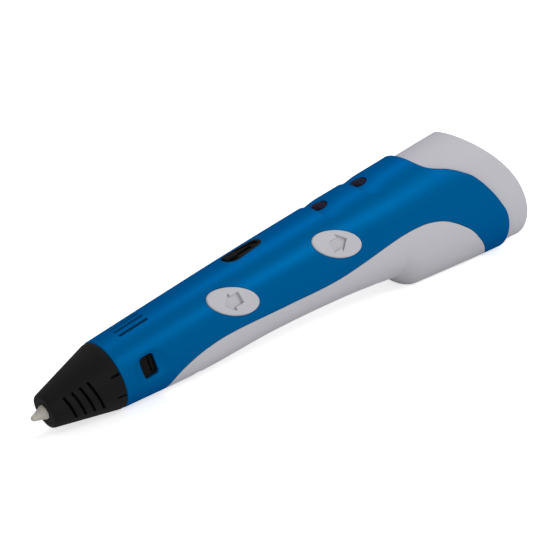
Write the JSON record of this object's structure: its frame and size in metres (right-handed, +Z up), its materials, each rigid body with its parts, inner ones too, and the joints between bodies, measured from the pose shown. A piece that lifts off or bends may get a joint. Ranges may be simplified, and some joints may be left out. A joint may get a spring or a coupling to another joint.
{
  "type": "three d pen",
  "caption": "Hand-held filament pen with a black vented nose cone, blue cover, white belly and tail, two oval feed buttons, speed slide and mode switch",
  "frame": {"origin": "middle of the footprint, on the table the pen lies on", "axes": "X runs from the nozzle to the tail along the table, Y away from the side with the buttons, Z up; the filament path is pitched up 9.75 degrees towards the tail"},
  "size_m": [0.1865, 0.0328, 0.0433],
  "materials": {
    "blue_plastic": "satin moulded",
    "white_plastic": "satin moulded",
    "black_plastic": "satin moulded",
    "black_glass_nylon": "fine textured moulded",
    "grey_plastic": "plain moulded",
    "red_plastic": "plain moulded",
    "clear_red_resin": "tinted lens",
    "clear_blue_resin": "tinted lens",
    "alumina": "unglazed",
    "heater_ceramic": "unglazed",
    "thermistor_glass": "coated bead",
    "laminate": "coated board",
    "natural_ptfe": "extruded",
    "mica_board": "pressed",
    "brass": "turned",
    "steel": "ground",
    "motor_can": "zinc plated"
  },
  "bodies": {
    "housing": {"nose_cone": "black_glass_nylon", "ceramic_nozzle": "alumina", "hot_end_barrel": "brass", "heater_sleeve": "heater_ceramic", "thermistor": "thermistor_glass", "hot_end_mount": "mica_board", "guide_tube": "natural_ptfe", "cover": "blue_plastic", "belly": "white_plastic", "tail_shell": "white_plastic", "tail_plate": "white_plastic", "filament_inlet": "black_plastic", "dc_jack": "black_plastic", "jack_pin": "steel", "extrude_switch": "grey_plastic", "retract_switch": "grey_plastic", "main_board": "laminate", "slider_track": "black_plastic", "speed_pot": "grey_plastic", "mode_switch": "grey_plastic", "power_led": "clear_red_resin", "ready_led": "clear_blue_resin", "fan_frame": "black_plastic", "feed_block": "grey_plastic", "drive_motor": "motor_can", "motor_gearbox": "brass", "lever_pin": "steel", "lever_spring": "steel", "shell_screws": "steel", "feed_screws": "steel"},
    "extrude_button": {"extrude_button": "white_plastic", "extrude_plunger": "red_plastic"},
    "retract_button": {"retract_button": "white_plastic", "retract_plunger": "red_plastic"},
    "speed_slider": {"speed_slider": "black_plastic"},
    "mode_knob": {"mode_knob": "black_plastic"},
    "fan_rotor": {"fan_rotor": "black_plastic"},
    "feed_drive": {"drive_shaft": "steel", "drive_wheel": "steel"},
    "idler_lever": {"idler_lever": "grey_plastic"},
    "idler_bearing": {"idler_bearing": "steel"}
  },
  "joints": [
    {"name": "extrude_press", "type": "slide", "parent": "housing", "child": "extrude_button", "axis": [0.0587, 0.9178, -0.3928], "range_m": [0, 0.0005], "stiffness_N_per_m": 80, "springref_m": -0.002},
    {"name": "retract_press", "type": "slide", "parent": "housing", "child": "retract_button", "axis": [0.0587, 0.9178, -0.3928], "range_m": [0, 0.0005], "stiffness_N_per_m": 80, "springref_m": -0.002},
    {"name": "speed_slide", "type": "slide", "parent": "housing", "child": "speed_slider", "axis": [0.989, 0, 0.1478], "range_m": [0, 0.007]},
    {"name": "mode_slide", "type": "slide", "parent": "housing", "child": "mode_knob", "axis": [0.989, 0, 0.1478], "range_m": [0, 0.0015]},
    {"name": "fan_spin", "type": "hinge", "parent": "housing", "child": "fan_rotor", "pos_m": [-0.05677, 0, 0.01551], "axis": [-0.1478, 0, 0.989], "continuous": true},
    {"name": "feed_spin", "type": "hinge", "parent": "housing", "child": "feed_drive", "pos_m": [0.05215, 0.00398, 0.02855], "axis": [-0.1478, 0, 0.989], "continuous": true},
    {"name": "lever_swing", "type": "hinge", "parent": "housing", "child": "idler_lever", "pos_m": [0.05957, -0.007, 0.02966], "axis": [-0.1478, 0, 0.989], "range_deg": [0, 4], "stiffness_Nm_per_rad": 0.002, "springref_deg": -34.38, "deforming": ["lever_spring"]},
    {"name": "idler_spin", "type": "hinge", "parent": "idler_lever", "child": "idler_bearing", "pos_m": [0.05215, -0.00428, 0.02855], "axis": [-0.1478, 0, 0.989], "continuous": true}
  ],
  "couplings": [
    {"joint": "idler_spin", "follows": "feed_spin", "ratio": -0.91429}
  ]
}
